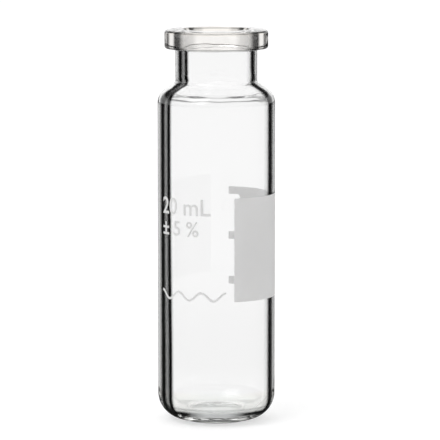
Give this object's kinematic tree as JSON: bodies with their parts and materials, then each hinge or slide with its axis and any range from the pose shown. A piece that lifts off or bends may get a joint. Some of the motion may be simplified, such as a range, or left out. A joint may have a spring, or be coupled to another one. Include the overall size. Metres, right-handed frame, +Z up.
{
  "type": "sample vial",
  "caption": "Clear glass headspace sample vial with a crimp flange, open narrow neck, rounded base and a white enamel write-on panel.",
  "frame": {"origin": "on the vial's axis, on the surface that it stands on", "axes": "+Z up the axis to the open mouth; the front of the vial faces -Y, and the write-on panel is at its right, towards +X"},
  "size_m": [0.0225, 0.0224, 0.0755],
  "materials": {
    "clear_glass": "clear fire-polished borosilicate tubing glass",
    "white_enamel": "white screen-printed enamel, fired on, slightly matt"
  },
  "bodies": {
    "root": {"vial_glass": "clear_glass", "write_on_panel": "white_enamel"}
  },
  "joints": []
}
